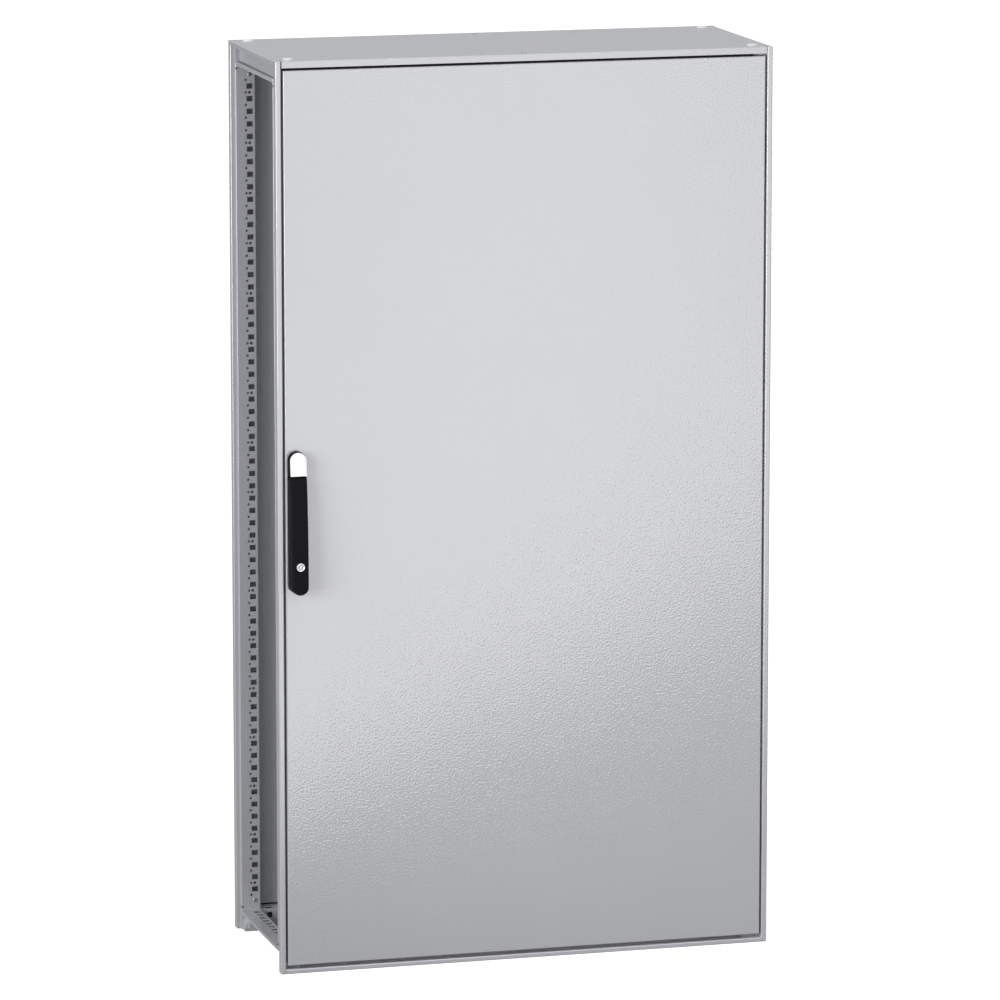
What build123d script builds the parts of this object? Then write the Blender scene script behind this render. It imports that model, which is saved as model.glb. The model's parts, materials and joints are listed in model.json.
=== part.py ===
"""Free-standing industrial switchboard cabinet, 1000 x 400 x 1800 mm, in millimetres.

Origin: centre of the footprint, on the floor. +X is the cabinet's right as seen from the
front, -Y is the front (the door) and +Z is up. A bolted sheet-steel frame carries the roof,
the rear panel and a hinged door with a swing handle. Both sides are open.

Sections of one corner are drawn with u, the distance in from the side, and v, the distance
in from the front or the back, and then mirrored to the other corners.
"""
import math
import os

from build123d import *

# ---- driving dimensions --------------------------------------------------------------
WIDTH = 1000.0
DEPTH = 400.0
HEIGHT = 1800.0
HALF_W = WIDTH / 2
HALF_D = DEPTH / 2

SHEET = 1.5                  # folded steel of the frame and the panels
DOOR_SHEET = 2.0

NOSE_U = 11.0                # outer tube of a post, width seen from the front
NOSE_V = 16.0                # and from the side
TUBE_IN = 21.0               # inner tube of a post, from the outer faces
TUBE_OUT = 44.0
LIP_FACE = 4.5               # the sealing lips stand this far in from the outer faces
LIP_THICK = 3.0              # the lips are folded double
CORNER_H = 50.0              # height of the corner pieces at both ends of a post
LIP_NOTCH = 3.0              # notches in the lips, where a post meets its corner piece
NOTCH_DEEP = 4.5
NOSE_BEND = 2.2              # outer bend radii
LIP_BEND = 1.2
TUBE_BEND = 1.8
PANEL_BEND = 2.2

PITCH = 25.0                 # hole pitch of the whole frame
SLOT_WIDE = 12.5             # rectangular hole, across the post
SLOT_HIGH = 10.5             # and along it
SLOT_LINE = 32.5             # centre line of the rectangular holes, from the outer face
ROUND_LINE = 25.0            # centre line of the round holes
ROUND_R = 2.4
FIRST_SLOT = 87.5
SLOT_COUNT = 66
GUIDE_R = 3.0                # larger round hole, once every 100 mm
GUIDE_PITCH = 100.0

TOP_LIP_LOW = 1755.0         # lower face of the top rails
TOP_LIP_HIGH = 1762.0
RAIL_WEB = 13.6              # outer web of the top rails
RAIL_TOP = 1795.5
BOTTOM_LIP_LOW = 38.0
BOTTOM_LIP_HIGH = 44.0       # upper face of the bottom rails
FLANGE = 1.0                 # thickness of their punched upper flange
FLANGE_SLOT = 12.5           # its slots, along the rail
SKIRT_H = 9.5                # folded edge along the floor, front and back
SKIRT_FOLD = 8.0             # and how far its top is folded in
JOINT_GROOVE = 0.5           # fine groove where a post meets its corner piece
LEDGE_Z = 8.0                # ledge for the gland plates
LEDGE_OUT = 56.0

DOOR_LEFT = 15.5             # from the left side
DOOR_RIGHT = 985.0
DOOR_LOW = 17.0
DOOR_HIGH = 1782.0
RETURN_DEPTH = 12.0          # folded edges of the door and the rear panel
SEAL_OUT = 41.0              # outer edge of the foam seals, from the sides
SEAL_IN = 47.5
SEAL_LOW = 39.5
SEAL_HIGH = 1760.0
SEAL_WIDE = 8.0
STIFF_OUT = 50.0             # perforated door frame, from the sides
STIFF_IN = 75.0
STIFF_BACK = 22.0
STIFF_LOW = 60.0
STIFF_HIGH = 1740.0

HINGE_X = 975.0              # hinge axis, from the left side
HINGE_V = 7.0                # and from the front face
HINGE_HEIGHTS = (200.0, 640.0, 1160.0, 1600.0)
KNUCKLE_R = 4.0
PIN_R = 2.0
PIN_BORE_R = 2.05
FRAME_KNUCKLE = 11.5         # half height
DOOR_KNUCKLE = 30.0          # half height of the whole hinge

HANDLE_X = 36.5              # centre line of the handle, from the left side
HANDLE_W = 34.5
HANDLE_TOP = 1042.5
HANDLE_LOW = 762.0
TURN_Z = 1018.0              # the spindle's height
PLATE_T = 3.0                # escutcheon
HUB_BACK = 4.5
HUB_T = 3.0
CAP_LOW = 996.2
LEVER_PIVOT_Z = 988.0
LEVER_PIVOT_OUT = 15.5       # the lever's pin stands this far in front of the door
LEVER_END_R = 7.5
LEVER_BACK = 5.0
LEVER_LOW = 838.0
HOUSING_HIGH = 836.0
LOCK_Z = 819.0
LOCK_R = 8.5
SPINDLE_R = 3.5
RUNNING = 0.05               # radial clearance of shafts in their bores
CRANK_R = 10.0
CRANK_PIN_R = 2.5
BAR_LEFT = 19.5              # locking bar, from the left side
BAR_RIGHT = 36.5
BAR_V = 10.0
BAR_T = 3.0
BAR_LOW = 70.0
BAR_HIGH = 1730.0
GUIDE_HEIGHTS = (240.0, 700.0, 1340.0, 1560.0)
KEEPER_HEIGHTS = (120.0, 520.0, 900.0, 1240.0, 1680.0)

os.makedirs("parts", exist_ok=True)


# ---- helpers -------------------------------------------------------------------------
def block(x, y, z):
    """A box from its low and high limits along each axis."""
    return Pos((x[0] + x[1]) / 2, (y[0] + y[1]) / 2, (z[0] + z[1]) / 2) * Box(
        x[1] - x[0], y[1] - y[0], z[1] - z[0])


def corner_block(u, v, z):
    """A box at the front left corner, from its distances to the side and the front."""
    return block([d - HALF_W for d in u], [d - HALF_D for d in v], z)


def door_block(x, v, z):
    """A box on the door, from the left side and from the front face (v < 0 is outside)."""
    return corner_block(x, v, z)


def turned(x, y, z, radius, length, axis):
    """A round bar that starts at a point and runs along an axis given as 'x', 'y' or 'z'."""
    angles = {"x": (0, 90, 0), "y": (-90, 0, 0), "z": (0, 0, 0)}[axis]
    bar = Cylinder(radius, length, align=(Align.CENTER, Align.CENTER, Align.MIN))
    return Pos(x, y, z) * Rot(*angles) * bar


def four_corners(shape):
    """One shape in each corner, named by its place."""
    rear = mirror(shape, about=Plane.XZ)
    return {
        "front_left": shape,
        "front_right": mirror(shape, about=Plane.YZ),
        "rear_left": rear,
        "rear_right": mirror(rear, about=Plane.YZ),
    }


def both_sides(shape):
    """One shape and its twin on the other side of the cabinet, across X."""
    return [shape, mirror(shape, about=Plane.YZ)]


def front_and_back(shape):
    """One shape and its twin at the back of the cabinet, across Y."""
    return [shape, mirror(shape, about=Plane.XZ)]


def save(name, shape):
    """Write one node, a solid or a group of separate solids."""
    if isinstance(shape, (list, tuple)):
        solids = [solid for item in shape for solid in item.solids()]
        shape = Compound(children=solids) if len(solids) > 1 else solids[0]
    export_step(shape, f"parts/{name}.step")


# ---- frame: posts and corner pieces --------------------------------------------------
def tube(u, v, z, wall=SHEET):
    """A square tube with open ends."""
    inner = [(u[0] + wall, u[1] - wall), (v[0] + wall, v[1] - wall)]
    return corner_block(u, v, z) - corner_block(inner[0], inner[1], (z[0] - 1, z[1] + 1))


def post_section(low, high, lips_low, lips_high):
    """Nose tube, joggle, inner tube and the two sealing lips of a post."""
    z = (low, high)
    lips = (lips_low, lips_high)
    nose = tube((0, NOSE_U), (0, NOSE_V), z)
    step = corner_block((NOSE_U - SHEET, NOSE_U), (NOSE_V - SHEET, TUBE_IN + SHEET), z)
    shelf = corner_block((NOSE_U - SHEET, TUBE_IN + SHEET), (TUBE_IN, TUBE_IN + SHEET), z)
    inner = tube((TUBE_IN, TUBE_OUT), (TUBE_IN, TUBE_OUT), z)
    lip_in = TUBE_OUT - LIP_THICK
    front_lip = corner_block((lip_in, TUBE_OUT), (LIP_FACE, TUBE_IN + SHEET), lips)
    side_lip = corner_block((LIP_FACE, TUBE_IN + SHEET), (lip_in, TUBE_OUT), lips)
    return nose + step + shelf + inner + front_lip + side_lip


def rounded(shape, radius, *places):
    """The shape with its upright edges rounded at some places, given as (u, v)."""
    chosen = []
    for u, v in places:
        at = Vector(u - HALF_W, v - HALF_D)
        for edge in shape.edges().filter_by(Axis.Z):
            middle = edge.center()
            if abs(middle.X - at.X) < 0.01 and abs(middle.Y - at.Y) < 0.01:
                chosen.append(edge)
    return fillet(chosen, radius)


def bent(section):
    """A post section with the bends of its outer faces."""
    lip_in = TUBE_OUT - LIP_THICK
    section = rounded(section, NOSE_BEND, (0, 0), (NOSE_U, 0), (0, NOSE_V))
    section = rounded(section, LIP_BEND, (lip_in, LIP_FACE), (TUBE_OUT, LIP_FACE),
                      (LIP_FACE, lip_in), (LIP_FACE, TUBE_OUT))
    return rounded(section, TUBE_BEND, (TUBE_OUT, TUBE_OUT))


def wall_holes(low, high):
    """Cutters for the hole rows in the two inner walls of a post."""
    wall = (TUBE_OUT - SHEET - 1, TUBE_OUT + 1)
    cutters = []
    for index in range(SLOT_COUNT):
        z = FIRST_SLOT + index * PITCH
        across = (SLOT_LINE - SLOT_WIDE / 2, SLOT_LINE + SLOT_WIDE / 2)
        along = (z - SLOT_HIGH / 2, z + SLOT_HIGH / 2)
        cutters.append(corner_block(wall, across, along))
        cutters.append(corner_block(across, wall, along))
    rows = [(ROUND_LINE, ROUND_R, FIRST_SLOT + (i - 0.5) * PITCH) for i in range(SLOT_COUNT + 1)]
    rows += [(SLOT_LINE, GUIDE_R, GUIDE_PITCH * (i + 1)) for i in range(17)]
    for line, radius, z in rows:
        near = wall[0]
        length = wall[1] - wall[0]
        cutters.append(turned(near - HALF_W, line - HALF_D, z, radius, length, "x"))
        cutters.append(turned(line - HALF_W, near - HALF_D, z, radius, length, "y"))
    return [cutter for cutter in cutters if low < cutter.center().Z < high]


def joint_groove(z):
    """Cutters for a fine groove round the outer faces of a nose tube."""
    heights = (z - JOINT_GROOVE, z + JOINT_GROOVE)
    front = corner_block((-1, NOSE_U + 1), (-1, JOINT_GROOVE), heights)
    return [front, corner_block((-1, JOINT_GROOVE), (-1, NOSE_V + 1), heights)]


post_low = CORNER_H
post_high = HEIGHT - CORNER_H
lip_in = TUBE_OUT - LIP_THICK
notch_reach = (LIP_FACE - 1, LIP_FACE + NOTCH_DEEP)
notches = []
for low in (post_low, post_high - LIP_NOTCH):
    heights = (low, low + LIP_NOTCH)
    notches.append(corner_block((lip_in - 1, TUBE_OUT + 1), notch_reach, heights))
    notches.append(corner_block(notch_reach, (lip_in - 1, TUBE_OUT + 1), heights))
post = post_section(post_low, post_high, post_low, post_high)
post = bent(post) - wall_holes(post_low, post_high) - notches
post -= joint_groove(post_low) + joint_groove(post_high)
for place, shape in four_corners(post).items():
    save(f"upright_{place}", shape)

# Top corner: the nose runs up flush with the roof, the inner tube ends under the roof
# in a closed plate with the thread for a lifting eye, closed by a round plug.
PLUG_AT = SLOT_LINE
PLUG_R = 6.0
nose_cap = corner_block((0, NOSE_U), (0, NOSE_V), (HEIGHT - 3, HEIGHT))
top_corner = post_section(post_high, RAIL_TOP - 3, post_high, TOP_LIP_HIGH)
top_corner += tube((0, NOSE_U), (0, NOSE_V), (RAIL_TOP - 4, HEIGHT)) + nose_cap
top_corner += corner_block((TUBE_IN, TUBE_OUT), (TUBE_IN, TUBE_OUT), (RAIL_TOP - 6, RAIL_TOP))
plug_hole = turned(PLUG_AT - HALF_W, PLUG_AT - HALF_D, RAIL_TOP - 7, PLUG_R, 8, "z")
top_corner = bent(top_corner) - plug_hole
for place, shape in four_corners(top_corner).items():
    save(f"top_corner_{place}", shape)

# Bottom corner: a foot plate with the floor bolt hole, under the post's section. The
# nose is chamfered where it meets the floor.
FOOT_T = 6.0
FOOT_R = 6.5
FOOT_IN = 12.0
CHAMFER = 3.0
bottom_corner = post_section(0, post_low, BOTTOM_LIP_LOW, post_low)
bottom_corner += corner_block((0, NOSE_U), (0, NOSE_V), (0, FOOT_T))
foot = corner_block((FOOT_IN, TUBE_OUT), (FOOT_IN, TUBE_OUT), (0, FOOT_T))
rib = corner_block((FOOT_IN + 2, TUBE_IN + SHEET), (TUBE_IN, TUBE_OUT - 6), (0, 18))
rib = chamfer(rib.edges().filter_by(Axis.Y).group_by(Axis.Z)[-1].sort_by(Axis.X)[0], 7)
bottom_corner = bent(bottom_corner + foot + rib)
bottom_corner -= turned(PLUG_AT - HALF_W, PLUG_AT - HALF_D, -1, FOOT_R, FOOT_T + 2, "z")
front_floor_edge = Plane.YZ * Pos(-HALF_D, 0) * Rectangle(CHAMFER, CHAMFER, rotation=45)
bottom_corner -= Pos(-HALF_W + NOSE_U / 2, 0, 0) * extrude(front_floor_edge, NOSE_U, both=True)
side_floor_edge = Plane.XZ * Pos(-HALF_W, 0) * Rectangle(CHAMFER, CHAMFER, rotation=45)
bottom_corner -= Pos(0, -HALF_D + NOSE_V / 2, 0) * extrude(side_floor_edge, NOSE_V, both=True)
for place, shape in four_corners(bottom_corner).items():
    save(f"bottom_corner_{place}", shape)

# Foam blocks that close the notches in the lips between the posts and their corners.
BLOCK_BACK = 0.4
block_reach = (LIP_FACE + BLOCK_BACK, LIP_FACE + NOTCH_DEEP)
lip_blocks = []
for low in (post_low, post_high - LIP_NOTCH):
    heights = (low, low + LIP_NOTCH)
    lip_blocks.append(corner_block((lip_in, TUBE_OUT), block_reach, heights))
    lip_blocks.append(corner_block(block_reach, (lip_in, TUBE_OUT), heights))
save("lip_blocks", [b for shape in lip_blocks for b in four_corners(shape).values()])


# ---- frame: rails --------------------------------------------------------------------
def rail(strips, half_length, along):
    """Folded strips, each given by its distance in and its height, swept along X or Y."""
    pieces = []
    for inward, z in strips:
        if along == "x":
            y = [d - HALF_D for d in inward]
            pieces.append(block((-half_length, half_length), y, z))
        else:
            x = [d - HALF_W for d in inward]
            pieces.append(block(x, (-half_length, half_length), z))
    return pieces[0] + pieces[1:] if len(pieces) > 1 else pieces[0]


def rail_holes(half_length, along):
    """Cutters for the hole rows in the top and the inner wall of a bottom rail."""
    cutters = []
    steps = int((half_length - SLOT_HIGH / 2) // PITCH)
    top = (BOTTOM_LIP_HIGH - FLANGE - 1, BOTTOM_LIP_HIGH + 1)
    wall = (TUBE_OUT - SHEET - 1, TUBE_OUT + 1)
    across = (SLOT_LINE - SLOT_WIDE / 2, SLOT_LINE + SLOT_WIDE / 2)
    slot_z = (26.0, 37.5)
    for index in range(-steps, steps):
        middle = (index + 0.5) * PITCH
        run = (middle - SLOT_HIGH / 2, middle + SLOT_HIGH / 2)
        flange_run = (middle - FLANGE_SLOT / 2, middle + FLANGE_SLOT / 2)
        if along == "x":
            cutters.append(block(flange_run, [d - HALF_D for d in across], top))
            cutters.append(block(run, [d - HALF_D for d in wall], slot_z))
        else:
            cutters.append(block([d - HALF_W for d in across], flange_run, top))
            cutters.append(block([d - HALF_W for d in wall], run, slot_z))
    return cutters


long_half = HALF_W - TUBE_OUT
short_half = HALF_D - TUBE_OUT
top_strips = [
    ((LIP_FACE, TUBE_OUT), (TOP_LIP_LOW, TOP_LIP_LOW + SHEET)),
    ((LIP_FACE, LIP_FACE + LIP_THICK), (TOP_LIP_LOW, TOP_LIP_HIGH)),
    ((RAIL_WEB, RAIL_WEB + SHEET), (TOP_LIP_LOW, RAIL_TOP)),
    ((RAIL_WEB, TUBE_OUT), (RAIL_TOP - SHEET, RAIL_TOP)),
    ((TUBE_OUT - SHEET, TUBE_OUT), (TOP_LIP_LOW, RAIL_TOP)),
]
bottom_strips = [
    ((LIP_FACE, TUBE_OUT), (BOTTOM_LIP_HIGH - FLANGE, BOTTOM_LIP_HIGH)),
    ((LIP_FACE, LIP_FACE + LIP_THICK), (BOTTOM_LIP_LOW, BOTTOM_LIP_HIGH)),
    ((LIP_FACE, TUBE_OUT), (BOTTOM_LIP_LOW, BOTTOM_LIP_LOW + SHEET)),
    ((TUBE_OUT - SHEET, TUBE_OUT), (LEDGE_Z, BOTTOM_LIP_HIGH)),
]
ledge_strips = [((TUBE_OUT - SHEET, LEDGE_OUT), (LEDGE_Z, LEDGE_Z + SHEET))]
skirt_strips = bottom_strips + ledge_strips + [
    ((TUBE_OUT - SHEET, TUBE_OUT), (0, LEDGE_Z + SHEET)),
    ((SKIRT_FOLD, TUBE_OUT), (0, SHEET)),
]
box_strip = [((TUBE_IN, TUBE_IN + SHEET), (0, BOTTOM_LIP_LOW + SHEET))]
names = ("front", "rear")
for name, shape in zip(names, front_and_back(rail(top_strips, long_half, "x"))):
    save(f"top_rail_{name}", shape)
for name, shape in zip(("left", "right"), both_sides(rail(top_strips, short_half, "y"))):
    save(f"top_rail_{name}", shape)
skirt_half = HALF_W - NOSE_U
skirt_outer = block((-skirt_half, skirt_half), (-HALF_D, -HALF_D + SKIRT_FOLD), (0, SKIRT_H))
skirt_outer = fillet(skirt_outer.edges().filter_by(Axis.X).group_by(Axis.Y)[0], NOSE_BEND)
skirt_room = block((-skirt_half - 1, skirt_half + 1),
                   (-HALF_D + SHEET, -HALF_D + SKIRT_FOLD + 1), (SHEET, SKIRT_H - SHEET))
skirt_rail = rail(skirt_strips, long_half, "x") + (skirt_outer - skirt_room)
skirt_rail -= rail_holes(long_half, "x")
front_rail, rear_rail = front_and_back(skirt_rail)
rear_rail += front_and_back(rail(box_strip, long_half, "x"))[1]
save("bottom_rail_front", front_rail)
save("bottom_rail_rear", rear_rail)
side_ledge = rail(ledge_strips, HALF_D - LEDGE_OUT, "y")
side_rail = rail(bottom_strips, short_half, "y") + side_ledge - rail_holes(short_half, "y")
for name, shape in zip(("left", "right"), both_sides(side_rail)):
    save(f"bottom_rail_{name}", shape)

# Screws that hold the posts to their corner pieces, on both inner walls of each post.
SCREW_HEAD_R = 4.0
SCREW_HEAD_T = 1.5
SCREW_R = 2.0
screws = []
for z in (64.0, 1736.0):
    head_at = TUBE_OUT
    back_at = TUBE_OUT - SHEET
    screws.append(
        turned(head_at - HALF_W, SLOT_LINE - HALF_D, z, SCREW_HEAD_R, SCREW_HEAD_T, "x"))
    screws.append(
        turned(SLOT_LINE - HALF_W, head_at - HALF_D, z, SCREW_HEAD_R, SCREW_HEAD_T, "y"))
save("post_screws", [s for screw in screws for s in four_corners(screw).values()])

# ---- roof ----------------------------------------------------------------------------
FASCIA_H = 13.0
SIDE_FOLD_H = 9.0
NOTCH_U = NOSE_U + 1.5
NOTCH_V = NOSE_V + 1.5
roof = block((-HALF_W, HALF_W), (-HALF_D, HALF_D), (HEIGHT - SHEET, HEIGHT))
fascia = block((-HALF_W + NOTCH_U, HALF_W - NOTCH_U), (-HALF_D, -HALF_D + SHEET),
               (HEIGHT - FASCIA_H, HEIGHT))
side_fold = block((-HALF_W, -HALF_W + SHEET), (-HALF_D + NOTCH_V, HALF_D - NOTCH_V),
                  (HEIGHT - SIDE_FOLD_H, HEIGHT))
roof = roof + front_and_back(fascia) + both_sides(side_fold)
outer_edges = [edge for edge in roof.edges().group_by(Axis.Z)[-1]
               if max(abs(edge.center().X) - HALF_W, abs(edge.center().Y) - HALF_D) > -0.01]
roof = fillet(outer_edges, 1.4)
corner_notch = corner_block((-1, NOTCH_U), (-1, NOTCH_V), (HEIGHT - 20, HEIGHT + 1))
roof_hole = turned(PLUG_AT - HALF_W, PLUG_AT - HALF_D, HEIGHT - 3, PLUG_R, 4, "z")
roof -= list(four_corners(corner_notch).values()) + list(four_corners(roof_hole).values())
CENTRE_SCREW_V = 20.0
centre_hole = turned(0, CENTRE_SCREW_V - HALF_D, HEIGHT - 3, 2.5, 4, "z")
roof -= front_and_back(centre_hole)
save("roof_panel", roof)

seal_z = (RAIL_TOP, HEIGHT - SHEET)
seal_outer = block((-HALF_W + 17, HALF_W - 17), (-HALF_D + 17, HALF_D - 17), seal_z)
seal_inner = block((-HALF_W + 42, HALF_W - 42), (-HALF_D + 42, HALF_D - 42), seal_z)
seal_nose = corner_block((16, TUBE_IN), (16, TUBE_IN + SHEET), seal_z)
roof_seal = seal_outer - seal_inner - list(four_corners(seal_nose).values())
plug_relief = turned(PLUG_AT - HALF_W, PLUG_AT - HALF_D, RAIL_TOP - 1, PLUG_R, 6, "z")
centre_relief = turned(0, CENTRE_SCREW_V - HALF_D, RAIL_TOP - 1, 2.5, 6, "z")
roof_seal -= list(four_corners(plug_relief).values()) + front_and_back(centre_relief)
save("roof_seal", roof_seal)

PLUG_HEAD_R = 10.5
PLUG_HEAD_T = 2.5
head = turned(PLUG_AT - HALF_W, PLUG_AT - HALF_D, HEIGHT, PLUG_HEAD_R, PLUG_HEAD_T, "z")
head = fillet(head.edges().group_by(Axis.Z)[-1], 1.2)
shank = turned(PLUG_AT - HALF_W, PLUG_AT - HALF_D, HEIGHT - 14, PLUG_R - RUNNING, 15, "z")
save("roof_corner_plugs", list(four_corners(head + shank).values()))

centre_head = turned(0, CENTRE_SCREW_V - HALF_D, HEIGHT, 5.5, 1.2, "z")
centre_screw = centre_head + turned(0, CENTRE_SCREW_V - HALF_D, RAIL_TOP, 2.4, 5, "z")
save("roof_centre_screws", front_and_back(centre_screw))


# ---- rear panel ----------------------------------------------------------------------
def tray(left, right, low, high, v, sheet, depth):
    """A flat panel with its four edges folded back, drawn at the front."""
    skin = corner_block((left, right), (v, v + sheet), (low, high))
    edge = (v, v + depth)
    folds = [
        corner_block((left, left + sheet), edge, (low, high)),
        corner_block((right - sheet, right), edge, (low, high)),
        corner_block((left, right), edge, (low, low + sheet)),
        corner_block((left, right), edge, (high - sheet, high)),
    ]
    folded = skin + folds
    return fillet(folded.faces().sort_by(Axis.Y)[0].edges(), PANEL_BEND - 0.3)


def seal_ring(v):
    """The foam seal on a panel, in front of the frame's lips."""
    outer = corner_block((SEAL_OUT, WIDTH - SEAL_OUT), v, (SEAL_LOW, SEAL_HIGH))
    inner = corner_block((SEAL_IN, WIDTH - SEAL_IN), v,
                         (SEAL_LOW + SEAL_WIDE, SEAL_HIGH - SEAL_WIDE))
    return outer - inner


REAR_V = 1.5
REAR_EDGE = 15.5
REAR_SCREW_U = 30.0
REAR_SCREW_HEIGHTS = (130.0, 515.0, 900.0, 1285.0, 1670.0)
rear_tray = tray(REAR_EDGE, WIDTH - REAR_EDGE, DOOR_LOW, DOOR_HIGH, REAR_V, SHEET, RETURN_DEPTH)
rear_holes = []
rear_screws = []
for z in REAR_SCREW_HEIGHTS:
    place = (REAR_SCREW_U - HALF_W, -HALF_D, z)
    screw = turned(*place, 5.5, REAR_V, "y") + turned(*place, 2.4, TUBE_IN, "y")
    rear_holes += both_sides(turned(*place, 2.45, 6, "y"))
    rear_screws += both_sides(mirror(screw, about=Plane.XZ))
save("rear_panel", mirror(rear_tray - rear_holes, about=Plane.XZ))
save("rear_panel_screws", rear_screws)
save("rear_panel_seal", mirror(seal_ring((REAR_V + SHEET, LIP_FACE)), about=Plane.XZ))

# ---- gland plates in the floor -------------------------------------------------------
GLAND_T = 2.0
GLAND_EDGE = 45.0
gland_z = (LEDGE_Z + SHEET, LEDGE_Z + SHEET + GLAND_T)
gland = block((-HALF_W + GLAND_EDGE, HALF_W - GLAND_EDGE), (-HALF_D + GLAND_EDGE, -0.5), gland_z)
gland_holes = []
gland_screws = []
for x in (-400.0, 0.0, 400.0):
    place = (x, -HALF_D + LEDGE_OUT - 5, gland_z[0])
    gland_holes.append(turned(*place, 2.5, GLAND_T, "z"))
    gland_screws.append(turned(*place, 2.45, GLAND_T, "z") + turned(
        place[0], place[1], gland_z[1], 5.0, 2.0, "z"))
for name, shape in zip(names, front_and_back(gland - gland_holes)):
    save(f"gland_plate_{name}", shape)
save("gland_plate_screws", [s for screw in gland_screws for s in front_and_back(screw)])

# ---- door ----------------------------------------------------------------------------
LOCK_CASE = ((19.0, 40.5), (DOOR_SHEET, 4.0), (985.0, 1050.0))
door = tray(DOOR_LEFT, DOOR_RIGHT, DOOR_LOW, DOOR_HIGH, 0, DOOR_SHEET, RETURN_DEPTH)
for z in HINGE_HEIGHTS:
    door -= door_block((DOOR_RIGHT - DOOR_SHEET - 1, DOOR_RIGHT + 1),
                       (DOOR_SHEET, RETURN_DEPTH + 1), (z - 34, z + 34))
handle_at = HANDLE_X - HALF_W
front_at = -HALF_D
door -= turned(handle_at, front_at - 1, TURN_Z, SPINDLE_R + 1.5, 4, "y")
save("door_panel", door)
save("door_seal", seal_ring((DOOR_SHEET, LIP_FACE - 0.2)))


def stiffener(x, z):
    """A U-shaped profile welded to the back of the door, open towards the door."""
    v = (DOOR_SHEET, STIFF_BACK)
    inside_x = (x[0] + SHEET, x[1] - SHEET)
    inside_z = (z[0] + SHEET, z[1] - SHEET)
    return door_block(x, v, z) - door_block(inside_x, (v[0] - 1, v[1] - SHEET), inside_z)


stile = stiffener((STIFF_OUT, STIFF_IN), (STIFF_LOW, STIFF_HIGH))
stile_middle = (STIFF_OUT + STIFF_IN) / 2
stile_cutters = []
for index in range(SLOT_COUNT - 1):
    z = FIRST_SLOT + (index + 0.5) * PITCH
    stile_cutters.append(door_block(
        (stile_middle - SLOT_WIDE / 2, stile_middle + SLOT_WIDE / 2),
        (STIFF_BACK - SHEET - 1, STIFF_BACK + 1), (z - SLOT_HIGH / 2, z + SLOT_HIGH / 2)))
for name, shape in zip(("left", "right"), both_sides(stile - stile_cutters)):
    save(f"door_stile_{name}", shape)
crossbar_x = (STIFF_IN, WIDTH - STIFF_IN)
crossbar_h = STIFF_IN - STIFF_OUT
save("door_crossbar_top", stiffener(crossbar_x, (STIFF_HIGH - crossbar_h, STIFF_HIGH)))
save("door_crossbar_bottom", stiffener(crossbar_x, (STIFF_LOW, STIFF_LOW + crossbar_h)))

# ---- hinges, hidden behind the door's right edge -------------------------------------
FRAME_LEAF_H = 25.0
LEAF_T = 3.0
DOOR_LEAF_T = 1.5
hinge_x = HINGE_X - HALF_W
hinge_y = HINGE_V - HALF_D
arm_right = HINGE_X - 3.0
frame_leaves = []
door_leaves = []
pins = []
for z in HINGE_HEIGHTS:
    arm_z = (z - FRAME_KNUCKLE, z + FRAME_KNUCKLE)
    leaf = door_block((960.0, arm_right), (TUBE_IN - LEAF_T, TUBE_IN),
                      (z - FRAME_LEAF_H, z + FRAME_LEAF_H))
    leaf += door_block((arm_right - 6, arm_right), (HINGE_V - 3, TUBE_IN), arm_z)
    leaf += door_block((arm_right - 1, HINGE_X), (HINGE_V - 3, HINGE_V + 3), arm_z)
    leaf += turned(hinge_x, hinge_y, arm_z[0], KNUCKLE_R, 2 * FRAME_KNUCKLE, "z")
    bore = turned(hinge_x, hinge_y, z - 40, PIN_BORE_R, 80, "z")
    frame_leaves.append(leaf - bore)
    knuckle_h = DOOR_KNUCKLE - FRAME_KNUCKLE - 0.5
    wing = door_block((963.0, DOOR_RIGHT - DOOR_SHEET), (DOOR_SHEET, DOOR_SHEET + DOOR_LEAF_T),
                      (z - DOOR_KNUCKLE, z + DOOR_KNUCKLE))
    wing -= door_block((965.5, DOOR_RIGHT), (0, 10),
                       (z - FRAME_KNUCKLE - 0.5, z + FRAME_KNUCKLE + 0.5))
    for low in (z - DOOR_KNUCKLE, z + FRAME_KNUCKLE + 0.5):
        wing += turned(hinge_x, hinge_y, low, KNUCKLE_R, knuckle_h, "z")
    door_leaves.append(wing - bore)
    pins.append(turned(hinge_x, hinge_y, z - DOOR_KNUCKLE, PIN_R, 2 * DOOR_KNUCKLE + 0.5, "z")
                + turned(hinge_x, hinge_y, z + DOOR_KNUCKLE + 0.3, 3.2, 1.5, "z"))
save("hinge_frame_leaves", frame_leaves)
save("hinge_door_leaves", door_leaves)
save("hinge_pins", pins)


# ---- handle --------------------------------------------------------------------------
def outline(half_width, top, low):
    """Front view of the handle: a straight bar, round at both ends."""
    centre = (top + low) / 2
    straight = top - low - 2 * half_width
    return Plane.XZ * Pos(0, centre) * SlotCenterToCenter(straight, 2 * half_width, rotation=90)


def forward(face, back, front):
    """A front-view outline made solid, from one distance in front of the door to another."""
    solid = extrude(face, amount=front - back)
    box = solid.bounding_box()
    return Pos(handle_at, front_at - back - box.max.Y, 0) * solid


half_handle = HANDLE_W / 2
plate = forward(outline(half_handle, HANDLE_TOP, HANDLE_LOW), 0, PLATE_T)
plate -= turned(handle_at, front_at - 5, TURN_Z, SPINDLE_R + RUNNING, 6, "y")
save("escutcheon", plate)


def side_profile(points):
    """A side view, given by distances in front of the door and heights, made solid."""
    corners = [(front_at - out, z) for out, z in points]
    face = Plane.YZ * make_face(Polyline(*corners, close=True))
    return Pos(handle_at, 0, 0) * extrude(face, amount=HANDLE_W, both=True)


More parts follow.
